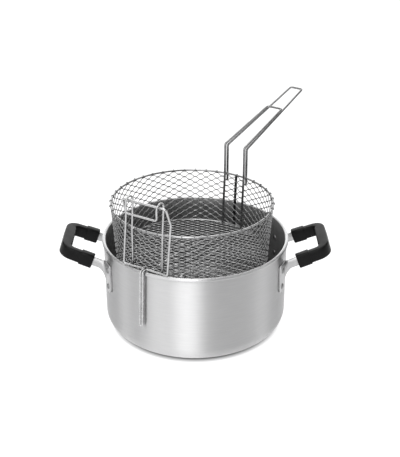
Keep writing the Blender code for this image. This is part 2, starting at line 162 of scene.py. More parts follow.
# Basket
BASKET_CENTRE = (-0.0049, -0.0133)
BASKET_RIM_Z = 0.2110
BASKET_RIM_RADIUS = 0.1235
RIM_WIRE = 0.0016
BASKET_BASE_Z = 0.1235
BASKET_BASE_RADIUS = 0.1180
BASE_WIRE = 0.0015
RING_STEPS = 144
WIRE = 0.0014
HANDLE_WIRE = 0.0019
MESH_WIRE = 0.00062
WALL_CELLS = 43
WALL_ROWS = 17
BASE_CELL = 0.0160
BASE_PITCH = 0.0046
MESH_TUCK = 0.6
WRAP_STEPS = 9
# (along, across) as shares of half a cell and of the swing: one crest of a crimped mesh wire
CRIMP = ((-0.29, 0.86), (-0.20, 1.0), (0.20, 1.0), (0.29, 0.86))
WIRE_SIDES = 12
CAP_CHAMFER = 0.28
CAP_CROWN = 0.02
MESH_SIDES = 6
WELD_SIZE = (0.0022, 0.0024, 0.0013)
SEAM_WIDTH = 0.005
SEAM_THICKNESS = 0.0010
SEAM_CLEARANCE = 0.00015
SEAM_STEPS = 8
SAME_POINT = 1e-6

# Basket's long handle
HANDLE_AZIMUTH = math.radians(55.2)
HANDLE_HALF_WIDTH = 0.0180
HANDLE_END_HALF_WIDTH = 0.0112
HANDLE_BEND_Z = 0.2590
HANDLE_REACH = 0.312
HANDLE_END_Z = 0.3075
BRACE_REACH = 0.240
HANDLE_STUB_Z = 0.1990
WIRE_BEND = 0.004
WIRE_BEND_STEPS = 8

# Hook and hanger
HANG_AZIMUTH = math.radians(238.5)
HOOK_HALF_WIDTH = 0.0258
HOOK_FOOT_SHIFT = -0.0033
HOOK_TOP_SHIFT = 0.0050
HOOK_REACH = 0.1416
HOOK_ARCH_Z = 0.2571
HOOK_ARCH_STEPS = 16
HOOK_TIP_Z = 0.2428
HANGER_WIRE = 0.0016
REST_REACH = 0.1379
HANGER_HALF_WIDTH = 0.0381
HANGER_LEG_TOP_Z = 0.2325
HANGER_LEAN = 0.0072
CROSSBAR_REACH = 0.1500
CROSSBAR_HALF_WIDTH = 0.0364
CROSSBAR_LEAN = 0.0087
CROSSBAR_Z = 0.2612
TAIL_HALF_WIDTH = 0.0020
TAIL_SHIFT = -0.0034
TAIL_BEND = 0.0018
TAIL_END_Z = 0.0580


# ---------------------------------------------------------------- materials


class Nodes:
    """A node tree, with short calls to add and link nodes."""

    def __init__(self, tree):
        self.tree = tree

    def add(self, kind, **settings):
        node = self.tree.nodes.new(kind)
        for key, value in settings.items():
            if key in node.inputs:
                node.inputs[key].default_value = value
            else:
                setattr(node, key, value)
        return node

    def link(self, output, target):
        self.tree.links.new(output, target)

    def place(self):
        return self.add("ShaderNodeTexCoord").outputs["Object"]

    def mapped(self, scale, source=None):
        node = self.add("ShaderNodeMapping")
        node.inputs["Scale"].default_value = scale
        self.link(source or self.place(), node.inputs["Vector"])
        return node.outputs["Vector"]

    def noise(self, scale, vector, detail=3.0, rough=0.6):
        node = self.add("ShaderNodeTexNoise", Scale=scale, Detail=detail, Roughness=rough)
        self.link(vector, node.inputs["Vector"])
        return node.outputs["Fac"]

    def span(self, value, low, high, start=0.3, end=0.7):
        node = self.add("ShaderNodeMapRange")
        for key, number in (("From Min", start), ("From Max", end), ("To Min", low), ("To Max", high)):
            node.inputs[key].default_value = number
        self.link(value, node.inputs["Value"])
        return node.outputs["Result"]

    def mix(self, share, first, second):
        node = self.add("ShaderNodeMix", data_type="RGBA")
        self.link(share, node.inputs["Factor"])
        node.inputs[6].default_value = first
        node.inputs[7].default_value = second
        return node.outputs[2]

    def cylindrical(self):
        """(angle, height, radius) about the pot's axis, for brushing that runs round it."""
        split = self.add("ShaderNodeSeparateXYZ")
        self.link(self.place(), split.inputs[0])
        angle = self.add("ShaderNodeMath", operation="ARCTAN2")
        self.link(split.outputs["Y"], angle.inputs[0])
        self.link(split.outputs["X"], angle.inputs[1])
        length = self.add("ShaderNodeVectorMath", operation="LENGTH")
        flat = self.add("ShaderNodeCombineXYZ")
        self.link(split.outputs["X"], flat.inputs["X"])
        self.link(split.outputs["Y"], flat.inputs["Y"])
        self.link(flat.outputs[0], length.inputs[0])
        joined = self.add("ShaderNodeCombineXYZ")
        self.link(angle.outputs[0], joined.inputs["X"])
        self.link(split.outputs["Z"], joined.inputs["Y"])
        self.link(length.outputs["Value"], joined.inputs["Z"])
        return joined.outputs[0]


class Finish(Nodes):
    """A new material with one principled shader."""

    def __init__(self, name, metallic, specular, anisotropic=0.0):
        self.material = bpy.data.materials.new(name)
        self.material.use_nodes = True
        super().__init__(self.material.node_tree)
        self.shader = self.tree.nodes["Principled BSDF"]
        self.shader.inputs["Metallic"].default_value = metallic
        self.shader.inputs["Specular IOR Level"].default_value = specular
        self.shader.inputs["Anisotropic"].default_value = anisotropic

    def colour(self, value, tones):
        darkest, lightest = tones
        share = self.span(value, 0.0, 1.0)
        self.link(self.mix(share, grey(darkest), grey(lightest)), self.shader.inputs["Base Color"])

    def roughness(self, value, ends):
        self.link(self.span(value, *ends), self.shader.inputs["Roughness"])

    def bump(self, height, strength):
        node = self.add("ShaderNodeBump", Strength=strength, Distance=BUMP_DEPTH)
        self.link(height, node.inputs["Height"])
        self.link(node.outputs["Normal"], self.shader.inputs["Normal"])


def grey(level):
    return (level, level, level * 1.004, 1.0)


def brushed_aluminium():
    """Bright metal brushed round the pot, so that reflections stretch upright."""
    made = Finish("brushed_aluminium", 1.0, 0.5, 0.95)
    made.shader.inputs["Anisotropic Rotation"].default_value = 0.25
    around = made.cylindrical()
    fine = made.noise(1.0, made.mapped(BRUSH_FINE, around), 3.0, 0.7)
    broad = made.noise(1.0, made.mapped(BRUSH_BROAD, around), 2.0, 0.5)
    made.colour(broad, BRUSHED_TONES)
    made.roughness(fine, BRUSHED_ROUGHNESS)
    tangent = made.add("ShaderNodeTangent", direction_type="RADIAL", axis="Z")
    made.link(tangent.outputs[0], made.shader.inputs["Tangent"])
    made.bump(fine, 0.03)
    return made.material


def dark_coat():
    """Hard dark coat inside the pot, faintly marked by the turning under it."""
    made = Finish("dark_hard_coat", 0.5, 0.5)
    around = made.cylindrical()
    rings = made.noise(1.0, made.mapped(COAT_RINGS, around), 3.0, 0.6)
    cloud = made.noise(COAT_CLOUD, made.place(), 4.0, 0.6)
    made.colour(cloud, COAT_TONES)
    made.roughness(rings, COAT_ROUGHNESS)
    made.bump(rings, 0.05)
    return made.material


def satin_aluminium(name, tones):
    """Plain metal strip with a fine drawn grain."""
    made = Finish(name, 1.0, 0.5)
    grain = made.noise(1.0, made.mapped(SATIN_GRAIN), 3.0, 0.6)
    cloud = made.noise(SATIN_CLOUD, made.place(), 3.0, 0.5)
    made.colour(cloud, tones)
    made.roughness(grain, SATIN_ROUGHNESS)
    made.bump(grain, 0.04)
    return made.material


def black_grip():
    """Moulded black plastic with a fine matte texture."""
    made = Finish("black_grip_plastic", 0.0, 0.14)
    pores = made.noise(GRIP_PORES, made.place(), 2.0, 0.5)
    cloud = made.noise(GRIP_CLOUD, made.place(), 3.0, 0.5)
    made.colour(cloud, GRIP_TONES)
    made.roughness(cloud, GRIP_ROUGHNESS)
    made.bump(pores, 0.12)
    return made.material


def plated_wire(name, tones):
    """Plated steel wire with small changes of tone and shine along it."""
    made = Finish(name, 1.0, 0.5)
    cloud = made.noise(WIRE_CLOUD, made.place(), 3.0, 0.6)
    drawn = made.noise(WIRE_DRAWN, made.place(), 2.0, 0.5)
    made.colour(cloud, tones)
    made.roughness(drawn, WIRE_ROUGHNESS)
    made.bump(drawn, 0.03)
    return made.material


# ---------------------------------------------------------------- geometry


def polar(radius, azimuth, z):
    return Vector((radius * math.cos(azimuth), radius * math.sin(azimuth), z))


def basket_point(reach, across, z, azimuth):
    along = Vector((math.cos(azimuth), math.sin(azimuth), 0.0))
    left = Vector((-math.sin(azimuth), math.cos(azimuth), 0.0))
    return Vector((*BASKET_CENTRE, z)) + reach * along + across * left


def chord_reach(radius, across):
    return math.sqrt(radius**2 - across**2)


def rounded(points, radii, steps, closed=False):
    """The polyline with each corner replaced by an arc of its radius. A corner of radius 0 stays."""
    count = len(points)
    result = []
    for i, (corner, radius) in enumerate(zip(points, radii)):
        if radius == 0.0 or not closed and i in (0, count - 1):
            result.append(corner.copy())
            continue
        back = (points[i - 1] - corner).normalized()
        ahead = (points[(i + 1) % count] - corner).normalized()
        half = back.angle(ahead) / 2
        middle = corner + (back + ahead).normalized() * radius / math.sin(half)
        start = corner + back * radius / math.tan(half) - middle
        end = corner + ahead * radius / math.tan(half) - middle
        turn = start.rotation_difference(end)
        for k in range(steps + 1):
            step = turn.copy()
            step.angle = turn.angle * k / steps
            result.append(middle + step @ start)
    return result


def add_tube(bm, points, radius, sides, closed=False):
    """Adds a round wire along the points, with its frame carried along so that it never twists."""
    count = len(points)
    along = []
    for i, point in enumerate(points):
        before = points[i - 1] if i or closed else point
        after = points[(i + 1) % count] if i < count - 1 or closed else point
        along.append((after - before).normalized())
    out = along[0].orthogonal().normalized()
    frames = []
    for i, direction in enumerate(along):
        if i:
            out = along[i - 1].rotation_difference(direction) @ out
        out = (out - direction * out.dot(direction)).normalized()
        frames.append((out.copy(), direction.cross(out)))
    slip = 0.0
    if closed:
        last = along[-1].rotation_difference(along[0]) @ frames[-1][0]
        slip = math.atan2(last.dot(frames[0][1]), last.dot(frames[0][0]))
    rings = []
    for i, (point, (u, v)) in enumerate(zip(points, frames)):
        shift = -slip * i / count
        angles = [shift + 2 * math.pi * k / sides for k in range(sides)]
        rings.append([bm.verts.new(point + radius * (math.cos(a) * u + math.sin(a) * v)) for a in angles])
    pairs = list(zip(rings, rings[1:]))
    if closed:
        pairs.append((rings[-1], rings[0]))
    for here, there in pairs:
        for k in range(sides):
            bm.faces.new((here[k], here[(k + 1) % sides], there[(k + 1) % sides], there[k]))
    if not closed:
        add_cap(bm, rings[0], points[0], -along[0], radius)
        add_cap(bm, rings[-1], points[-1], along[-1], radius)


def add_cap(bm, ring, centre, direction, radius):
    """A flat end with a small chamfer, kept within the wire's length."""
    inner = []
    for vert in ring:
        place = centre + (vert.co - centre) * (1 - CAP_CHAMFER)
        inner.append(bm.verts.new(place + direction * radius * CAP_CROWN))
        vert.co -= direction * radius * CAP_CHAMFER
    count = len(ring)
    for k in range(count):
        bm.faces.new((ring[k], ring[(k + 1) % count], inner[(k + 1) % count], inner[k]))
    bm.faces.new(inner)


def piece(name, bm, materials, body, nodes, smooth_angle=40.0):
    """Makes a finished piece: smooth shaded, riding on its body and standing for its CAD nodes."""
    bmesh.ops.recalc_face_normals(bm, faces=bm.faces)
    for face in bm.faces:
        face.smooth = True
    limit = math.radians(smooth_angle)
    for edge in bm.edges:
        edge.smooth = len(edge.link_faces) != 2 or edge.calc_face_angle() < limit
    data = bpy.data.meshes.new(name)
    bm.to_mesh(data)
    bm.free()
    for item in materials:
        data.materials.append(item)
    made = bpy.data.objects.new(name, data)
    bpy.context.scene.collection.objects.link(made)
    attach(made, body)
    if nodes:
        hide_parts(*nodes)
    return made


def wire_piece(name, points, radius, material, body, node, closed=False, welds=False):
    bm = bmesh.new()
    add_tube(bm, points, radius, WIRE_SIDES, closed)
    if welds:
        add_welds(bm, points)
    return piece(name, bm, [material], body, [node], 50.0)


def skin(rings, closed, bm=None):
    bm = bm or bmesh.new()
    made = [[bm.verts.new(point) for point in ring] for ring in rings]
    count = len(made[0])
    pairs = list(zip(made, made[1:]))
    if closed:
        pairs.append((made[-1], made[0]))
    for here, there in pairs:
        for k in range(count):
            bm.faces.new((here[k], here[(k + 1) % count], there[(k + 1) % count], there[k]))
    if not closed:
        bm.faces.new(made[0])
        bm.faces.new(made[-1])
    return bm


def lathe(profile, segments, bm=None):
    """A closed solid of revolution about Z. Returns the mesh and each profile step's faces."""
    bm = bm or bmesh.new()
    rings = []
    for radius, z in profile:
        if radius == 0.0:
            rings.append([bm.verts.new((0.0, 0.0, z))])
            continue
        turns = [2 * math.pi * k / segments for k in range(segments)]
        rings.append([bm.verts.new(polar(radius, turn, z)) for turn in turns])
    bands = []
    for upper, lower in zip(rings, rings[1:] + rings[:1]):
        band = []
        if len(upper) > 1 or len(lower) > 1:
            for k in range(segments):
                corners = [upper[k % len(upper)], lower[k % len(lower)]]
                corners += [lower[(k + 1) % len(lower)], upper[(k + 1) % len(upper)]]
                band.append(bm.faces.new(list(dict.fromkeys(corners))))
        bands.append(band)
    return bm, bands


def arc(centre, radius, start, end, steps):
    angles = [math.radians(start + (end - start) * k / steps) for k in range(steps + 1)]
    return [(centre[0] + radius * math.cos(a), centre[1] + radius * math.sin(a)) for a in angles]


# ---------------------------------------------------------------- pot


def make_pot(outside, inside):
    inner_radius = POT_RADIUS - POT_WALL
    bead_centre = (POT_RADIUS - BEAD_INSET, POT_HEIGHT - BEAD_RADIUS)
    corner = (POT_RADIUS - POT_CORNER, POT_CORNER)
    inner_corner = POT_CORNER - POT_WALL
    first = math.degrees(math.acos((inner_radius - bead_centre[0]) / BEAD_RADIUS))
    last = -math.degrees(math.acos((POT_RADIUS - bead_centre[0]) / BEAD_RADIUS))
    floor = [(radius, POT_BASE) for radius in POT_FLOOR_RADII]
    inner = arc((corner[0], POT_BASE + inner_corner), inner_corner, -90, 0, POT_ARC_STEPS)
    wall = [(inner_radius, z) for z in POT_WALL_HEIGHTS]
    bead = arc(bead_centre, BEAD_RADIUS, first, last, POT_ARC_STEPS)
    outer = [(POT_RADIUS, z) for z in reversed(POT_WALL_HEIGHTS)]
    outer += arc(corner, POT_CORNER, 0, -90, POT_ARC_STEPS)
    under = [(radius, 0.0) for radius in reversed(POT_FLOOR_RADII)]
    profile = floor + inner + wall + bead + outer + under
    bm, bands = lathe(profile, POT_SEGMENTS)
    for band in bands[: len(floor) + len(inner) + len(wall)]:
        for face in band:
            face.material_index = 1
    piece("pot_shell", bm, [outside, inside], "pot", ["pot_body"])


def rivet_angle():
    return FOOT_AZIMUTH + FOOT_WIDTH / 2 / POT_RADIUS


def make_rivets(material):
    inside = POT_RADIUS - POT_WALL
    outside = POT_RADIUS + GAP + STRIP_THICKNESS
    turns = [math.radians(a) for a in range(0, 90, RIVET_DOME_STEP)]
    dome = [(math.cos(a), math.sin(a)) for a in turns]
    outer = [(RIVET_HEAD * r, outside + (RIVET_HEAD_HEIGHT + GAP) * h) for r, h in dome]
    inner = [(RIVET_HEAD * r, inside - (RIVET_HEAD_HEIGHT + GAP) * h) for r, h in dome]
    shank = [(RIVET_HEAD * 0.5, outside), (RIVET_HEAD * 0.5, inside)]
    top = (0.0, outside + RIVET_HEAD_HEIGHT + GAP)
    low = (0.0, inside - RIVET_HEAD_HEIGHT - GAP)
    for side, middle in (("left", math.pi), ("right", 0.0)):
        for end, sign in (("front", -1), ("back", 1)):
            turn = sign if side == "right" else -sign
            azimuth = middle + turn * rivet_angle()
            for level, drop in zip(("upper", "lower"), RIVET_DROPS):
                bm, _ = lathe([top, *reversed(outer), *shank, *inner, low], RIVET_SEGMENTS)
                along = polar(1.0, azimuth, 0.0)
                across = Vector((-along.y, along.x, 0.0))
                for vert in bm.verts:
                    x, y, z = vert.co
                    vert.co = along * z + across * x + Vector((0.0, 0.0, y + STRIP_BASE_Z - drop))
                name = f"rivet_{side}_{end}_{level}"
                piece(name + "_head", bm, [material], "pot", [name])


# ---------------------------------------------------------------- pot handles


def foot_bottom(distance):
    radius = FOOT_WIDTH / 2
    offset = min(abs(distance - radius), radius)
    return FOOT_DEPTH - radius + math.sqrt(radius**2 - offset**2)


def foot_top(distance):
    missing = max(FOOT_TOP_CORNER - distance, 0.0)
    return FOOT_TOP - FOOT_TOP_CORNER + math.sqrt(FOOT_TOP_CORNER**2 - missing**2)


def half_loop_path():
    """Plan points of one half of the right handle's strip: foot, bend, and the turn into the bar."""
    radius = POT_RADIUS + GAP + STRIP_THICKNESS / 2
    span = FOOT_WIDTH / radius
    angles = [FOOT_AZIMUTH + span * (1 - k / FOOT_STEPS) for k in range(FOOT_STEPS + 1)]
    foot = [polar(radius, angle, 0.0) for angle in angles]
    tangent = (foot[-1] - foot[-2]).normalized()
    corner = foot[-1] + tangent * BEND_RADIUS * BEND_LEAD
    bar_x = radius * math.cos(FOOT_AZIMUTH) + BAR_REACH * math.cos(HANDLE_RISE)
    bar_corner = Vector((bar_x, LEG_END_Y, 0.0))
    bar_middle = Vector((bar_x, 0.0, 0.0))
    bend = rounded([foot[-1], corner, bar_corner], [BEND_RADIUS] * 3, BEND_STEPS)[1:-1]
    turn = rounded([corner, bar_corner, bar_middle], [LOOP_CORNER] * 3, LOOP_CORNER_STEPS)[1:-1]
    return foot, bend, turn


def tilt(point, start_x):
    beyond = max(point.x - start_x, 0.0)
    return Vector((point.x, point.y, STRIP_BASE_Z + beyond * math.tan(HANDLE_RISE)))


def upward(share):
    angle = HANDLE_RISE * share
    return Vector((-math.sin(angle), 0.0, math.cos(angle)))


def side_of(points, index, up):
    here = points[index]
    along = (points[index + 1] - here).normalized()
    if index:
        along += (here - points[index - 1]).normalized()
    return up.cross(along).normalized()


def mirrored(stations):
    flip = Vector((1.0, -1.0, 1.0))
    return stations + [[point * flip for point in ring] for ring in reversed(stations)]


def strip_section(half_thickness, top, bottom):
    """The strip's section with softened corners: (out, up) pairs."""
    points = []
    for sx, sy in ((1, 1), (-1, 1), (-1, -1), (1, -1)):
        end = top if sy > 0 else bottom
        first = (sx * half_thickness, sy * (end - STRIP_EDGE))
        second = (sx * (half_thickness - STRIP_EDGE), sy * end)
        points += [first, second] if sx * sy > 0 else [second, first]
    return points


def bracket_rings():
    foot, bend, turn = half_loop_path()
    start_x = bend[-1].x
    leg = (turn[0] - bend[-1]).normalized()
    gusset = [bend[-1] + leg * GUSSET_STEP * (k + 1) for k in range(GUSSET_STATIONS)]
    path = [tilt(plan, start_x) for plan in foot + bend + gusset + turn]
    path.append(path[-1] * Vector((1.0, 0.0, 1.0)))
    rings = []
    travelled = 0.0
    for i, centre in enumerate(path[:-1]):
        travelled += (centre - path[i - 1]).length if i else 0.0
        share = min(max((travelled - FOOT_WIDTH) / GUSSET_LENGTH, 0.0), 1.0)
        eased = math.sin(share * math.pi / 2)
        bottom = foot_bottom(min(travelled, FOOT_WIDTH)) * (1 - eased) + STRIP_HALF_HEIGHT * eased
        top = foot_top(travelled) * (1 - eased) + STRIP_HALF_HEIGHT * eased
        up = upward(min(max(centre.x - start_x, 0.0) / GUSSET_LENGTH, 1.0))
        out = side_of(path, i, up)
        section = strip_section(STRIP_THICKNESS / 2, top, bottom)
        rings.append([centre + out * a + up * b for a, b in section])
    return mirrored(rings)


def rounded_rectangle(half_width, half_height, radius, extra=0.0):
    """(out, up) pairs of a rounded rectangle that reaches a bit further on its inner side."""
    points = []
    for quadrant in range(4):
        sx = 1 if quadrant in (0, 3) else -1
        sy = 1 if quadrant in (0, 1) else -1
        for k in range(SLEEVE_EDGE_STEPS + 1):
            angle = math.pi / 2 * (quadrant + k / SLEEVE_EDGE_STEPS)
            reach = half_width if sx > 0 else half_width + extra
            x = sx * (reach - radius) + radius * math.cos(angle)
            y = sy * (half_height - radius) + radius * math.sin(angle)
            points.append((x, y))
    return points


def sleeve_rings():
    foot, bend, turn = half_loop_path()
    start = bend[-1]
    leg = (turn[0] - start).normalized()
    stretch = math.cos(HANDLE_RISE)
    collar = list(COLLAR_START) + [(SLEEVE_COLLAR - mark, scale) for mark, scale in COLLAR_END]
    sections = [(mark, [size * scale for size in COLLAR_HALF]) for mark, scale in collar]
    sections.append((SLEEVE_COLLAR, SLEEVE_HALF))
    stations = []
    for mark, half in sections:
        plan = start + leg * (SLEEVE_START + mark) * stretch
        stations.append((plan, *half, 0.0))
    last = len(turn) - 1
    stations += [(plan, *SLEEVE_HALF, SLEEVE_BAR_EXTRA * k / last) for k, plan in enumerate(turn)]
    path = [tilt(plan, start.x) for plan, *_ in stations]
    path.append(path[-1] * Vector((1.0, 0.0, 1.0)))
    up = upward(1.0)
    channel = (STRIP_THICKNESS / 2 + GAP, STRIP_HALF_HEIGHT + GAP)
    outer, inner = [], []
    for i, (_, width, height, extra) in enumerate(stations):
        out = side_of(path, i, up)
        section = rounded_rectangle(width, height, SLEEVE_EDGE, extra)
        hollow = rounded_rectangle(*channel, GAP)
        outer.append([path[i] + out * a + up * b for a, b in section])
        inner.append([path[i] + out * a + up * b for a, b in hollow])
    return mirrored(outer), mirrored(inner)


def turned(bm, facing):
    for vert in bm.verts:
        vert.co.x *= facing
        vert.co.y *= facing
    return bm


def make_handles(metal, plastic):
    for side, facing in (("right", 1), ("left", -1)):
        strip = turned(skin(bracket_rings(), closed=False), facing)
        node = f"handle_bracket_{side}"
        piece(f"bracket_strip_{side}", strip, [metal], "pot", [node], 60.0)
        outer, inner = sleeve_rings()
        sleeve = turned(skin(outer + inner[::-1], closed=True), facing)
        node = f"handle_grip_{side}"
        piece(f"grip_sleeve_{side}", sleeve, [plastic], "pot", [node], 35.0)


# ---------------------------------------------------------------- basket


def ring_points(radius, z):
    centre = Vector((*BASKET_CENTRE, 0.0))
    return [centre + polar(radius, 2 * math.pi * k / RING_STEPS, z) for k in range(RING_STEPS)]


def wall_radius(z):
    share = (z - BASKET_BASE_Z) / (BASKET_RIM_Z - BASKET_BASE_Z)
    return BASKET_BASE_RADIUS + share * (BASKET_RIM_RADIUS - BASKET_BASE_RADIUS)


def wave(cells, half_cell, swing):
    """(along, across) points of a crimped wire: a flat at every crest and trough, with eased corners."""
    points = []
    for k in range(2 * cells):
        sign = 1 if k % 2 else -1
        for along, across in CRIMP:
            points.append(((k + along) * half_cell, sign * across * swing))
    return points


def add_wraps(bm):
    """The top row's crests wrap round the rim hoop."""
    centre = Vector((*BASKET_CENTRE, BASKET_RIM_Z))
    reach = RIM_WIRE + MESH_WIRE
    for cell in range(WALL_CELLS):
        out = polar(1.0, (2 * cell + 1) * math.pi / WALL_CELLS, 0.0)
        middle = centre + out * BASKET_RIM_RADIUS
        up = Vector((0.0, 0.0, 1.0))
        angles = [2 * math.pi * k / WRAP_STEPS for k in range(WRAP_STEPS)]
        ring = [middle + reach * (math.cos(a) * out + math.sin(a) * up) for a in angles]
        add_tube(bm, ring, MESH_WIRE, MESH_SIDES, closed=True)


def make_wall(material):
    low = BASKET_BASE_Z + BASE_WIRE
    high = BASKET_RIM_Z - RIM_WIRE
    pitch = (high - low) / WALL_ROWS
    swing = pitch / 2 - MESH_WIRE
    centre = Vector((*BASKET_CENTRE, 0.0))
    bm = bmesh.new()
    for row in range(WALL_ROWS):
        middle = low + (row + 0.5) * pitch
        flip = 1 if row % 2 == 0 else -1
        points = []
        for turn, rise in wave(WALL_CELLS, math.pi / WALL_CELLS, swing):
            z = middle + flip * rise
            points.append(centre + polar(wall_radius(z), turn, z))
        add_tube(bm, points, MESH_WIRE, MESH_SIDES, closed=True)
    add_wraps(bm)
    piece("basket_wall_wires", bm, [material], "basket", ["basket_wall_mesh"], 180.0)


def make_base(material):
    reach = BASKET_BASE_RADIUS - BASE_WIRE * MESH_TUCK
    centre = Vector((*BASKET_CENTRE, BASKET_BASE_Z))
    rows = int(reach / BASE_PITCH)
    swing = BASE_PITCH / 2 - MESH_WIRE
    half = BASE_CELL / 2
    bm = bmesh.new()
    for row in range(-rows, rows + 1):
        y = row * BASE_PITCH
        room = chord_reach(reach, y)
        flip = 1 if row % 2 else -1
        cells = int(room / BASE_CELL) + 2
        points = []
        for along, across in wave(2 * cells, half, swing):
            x = along - 2 * cells * half
            place = Vector((x, y + flip * across, 0.0))
            if place.length < reach:
                points.append(centre + place)
        if len(points) > 2:
            add_tube(bm, points, MESH_WIRE, MESH_SIDES)
    piece("basket_base_wires", bm, [material], "basket", ["basket_base_mesh"], 180.0)


def make_seam(material):
    low = BASKET_BASE_Z + BASE_WIRE
    high = BASKET_RIM_Z - RIM_WIRE
    centre = Vector((*BASKET_CENTRE, 0.0))
    rings = []
    for k in range(SEAM_STEPS + 1):
        share = k / SEAM_STEPS
        across = SEAM_WIDTH * (share - 0.5)
        crown = SEAM_THICKNESS * math.sin(math.pi * share) ** 0.5 if 0 < share < 1 else 0.0
        ring = []
        for z, out in ((low, 0.0), (high, 0.0), (high, crown), (low, crown)):
            radius = wall_radius(z) + MESH_WIRE + SEAM_CLEARANCE + out
            ring.append(centre + polar(radius, HANDLE_AZIMUTH + across / radius, z))
        rings.append(ring)
    bm = skin(rings, closed=False)
    bmesh.ops.remove_doubles(bm, verts=bm.verts, dist=SAME_POINT)
    piece("basket_seam", bm, [material], "basket", ["basket_seam_strip"])


def inner_reach(z, across, wire=WIRE):
    return chord_reach(wall_radius(z) - RIM_WIRE - wire - GAP, across)


def outer_reach(z, across, wire=WIRE):
    return chord_reach(wall_radius(z) + RIM_WIRE + wire + GAP, across)


def both_sides(points):
    return points + [(reach, -across, z) for reach, across, z in reversed(points)]


def placed(points, azimuth):
    return [basket_point(reach, across, z, azimuth) for reach, across, z in points]


def foot_z():
    return BASKET_BASE_Z + 2 * GAP


def add_welds(bm, path):
    """A small blob of weld where the path's wire meets the basket's rim hoop."""
    centre = Vector((*BASKET_CENTRE, BASKET_RIM_Z))
    for first, second in zip(path, path[1:]):
        if (first.z - BASKET_RIM_Z) * (second.z - BASKET_RIM_Z) > 0.0 or first.z == second.z:
            continue
        share = (BASKET_RIM_Z - first.z) / (second.z - first.z)
        out = first.lerp(second, share) - centre
        middle = centre + out.normalized() * (out.length + BASKET_RIM_RADIUS) / 2
        turn = Matrix.Rotation(math.atan2(out.y, out.x), 4, "Z")
        shape = Matrix.Diagonal((WELD_SIZE[0], WELD_SIZE[1], WELD_SIZE[2], 1.0))
        place = Matrix.Translation(middle) @ turn @ shape
        bmesh.ops.create_icosphere(bm, subdivisions=2, radius=1.0, matrix=place)


def handle_wire(name, half, material, node):
    path = placed(both_sides(half), HANDLE_AZIMUTH)
    path = rounded(path, [WIRE_BEND] * len(path), WIRE_BEND_STEPS)
    wire_piece(name, path, HANDLE_WIRE, material, "basket", node, welds=True)


def make_basket_handle(material):
    start = outer_reach(BASKET_RIM_Z, HANDLE_HALF_WIDTH, HANDLE_WIRE)
    grip = [
        (start, HANDLE_HALF_WIDTH, HANDLE_STUB_Z),
        (start, HANDLE_HALF_WIDTH, HANDLE_BEND_Z),
        (HANDLE_REACH, HANDLE_END_HALF_WIDTH, HANDLE_END_Z),
    ]
    handle_wire("grip_wire", grip, material, "basket_handle_outer_loop")
    share = (BRACE_REACH - start) / (HANDLE_REACH - start)
    above = 2 * HANDLE_WIRE + GAP
    brace_half = HANDLE_HALF_WIDTH + share * (HANDLE_END_HALF_WIDTH - HANDLE_HALF_WIDTH)
    brace_z = HANDLE_BEND_Z + share * (HANDLE_END_Z - HANDLE_BEND_Z) + above
    rim_reach = inner_reach(BASKET_RIM_Z, HANDLE_HALF_WIDTH, HANDLE_WIRE)
    brace = [
        (inner_reach(foot_z(), HANDLE_HALF_WIDTH, HANDLE_WIRE), HANDLE_HALF_WIDTH, foot_z()),
        (rim_reach, HANDLE_HALF_WIDTH, BASKET_RIM_Z),
        (rim_reach, HANDLE_HALF_WIDTH, HANDLE_BEND_Z + above),
        (BRACE_REACH, brace_half, brace_z),
    ]
    handle_wire("brace_wire", brace, material, "basket_handle_inner_loop")


def hook_side(sign):
    """One leg of the hook: up outside the wall, over the crossbar in a half circle, down to the tip."""
    rise = (BASKET_RIM_Z - BASKET_BASE_Z) / (HOOK_ARCH_Z - BASKET_BASE_Z)
    rim_shift = HOOK_FOOT_SHIFT + rise * (HOOK_TOP_SHIFT - HOOK_FOOT_SHIFT)
    points = []
    for z, shift in ((BASKET_BASE_Z, HOOK_FOOT_SHIFT), (BASKET_RIM_Z, rim_shift)):
        across = shift + sign * HOOK_HALF_WIDTH
        points.append((outer_reach(z, across), across, z))
    across = HOOK_TOP_SHIFT + sign * HOOK_HALF_WIDTH
    start = points[-1][0]
    half = (HOOK_REACH - start) / 2
    for k in range(HOOK_ARCH_STEPS + 1):
        angle = math.pi * k / HOOK_ARCH_STEPS
        points.append((start + half * (1 - math.cos(angle)), across, HOOK_ARCH_Z + half * math.sin(angle)))
    points.append((HOOK_REACH, across, HOOK_TIP_Z))
    return points


def make_hook(material):
    left, right = hook_side(1), hook_side(-1)
    path = placed(left + right[::-1], HANG_AZIMUTH)
    plain = [0.0] * (len(left) - 1)
    path = rounded(path, plain + [WIRE_BEND, WIRE_BEND] + plain, WIRE_BEND_STEPS)
    wire_piece("hook_wire", path, WIRE, material, "basket", "basket_hook", welds=True)


def make_supports(material):
    z = BASKET_BASE_Z - WIRE - 2 * GAP
    inset = BASKET_BASE_RADIUS - BASE_WIRE - 2 * GAP - WIRE
    for side, sign in (("left", 1), ("right", -1)):
        near_reach = chord_reach(inset, HANDLE_HALF_WIDTH)
        near = basket_point(near_reach, sign * HANDLE_HALF_WIDTH, z, HANDLE_AZIMUTH)
        far_reach = chord_reach(inset, HOOK_HALF_WIDTH)
        far = basket_point(far_reach, -sign * HOOK_HALF_WIDTH, z, HANG_AZIMUTH)
        name = f"base_support_wire_{side}"
        wire_piece(name + "_bar", [near, far], WIRE, material, "basket", name)


